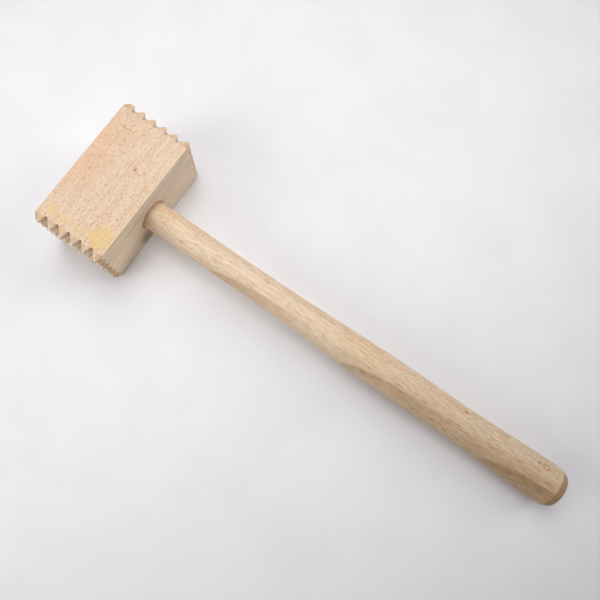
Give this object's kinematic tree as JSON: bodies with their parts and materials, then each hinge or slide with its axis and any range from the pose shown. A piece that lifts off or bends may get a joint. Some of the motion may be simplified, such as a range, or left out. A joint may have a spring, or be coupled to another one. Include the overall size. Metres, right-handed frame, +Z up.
{
  "type": "meat mallet",
  "caption": "Wooden meat mallet: a block head with pyramid teeth on both strike faces, on a turned handle whose tenon is glued and wedged through the head.",
  "frame": {"origin": "on the resting surface, under the centre of the mallet's bounding box as it lies down", "axes": "+Z up; +X along the handle from the head to the grip's end; +Y across the handle, along the head, from one toothed face to the other. The mallet lies as it rests by itself, on the head's long lower edge and the grip's end, so the head and handle dip by about 2.2 degrees about Y."},
  "size_m": [0.3468, 0.092, 0.0497],
  "materials": {
    "head_wood": "bare planed beech, satin",
    "handle_wood": "bare turned beech, sanded smooth",
    "wedge_wood": "bare hardwood, sawn and sanded flush",
    "glue": "cured wood glue, dull"
  },
  "bodies": {
    "root": {"head": "head_wood", "handle": "handle_wood", "tenon_wedge": "wedge_wood", "glue_line": "glue"}
  },
  "joints": []
}
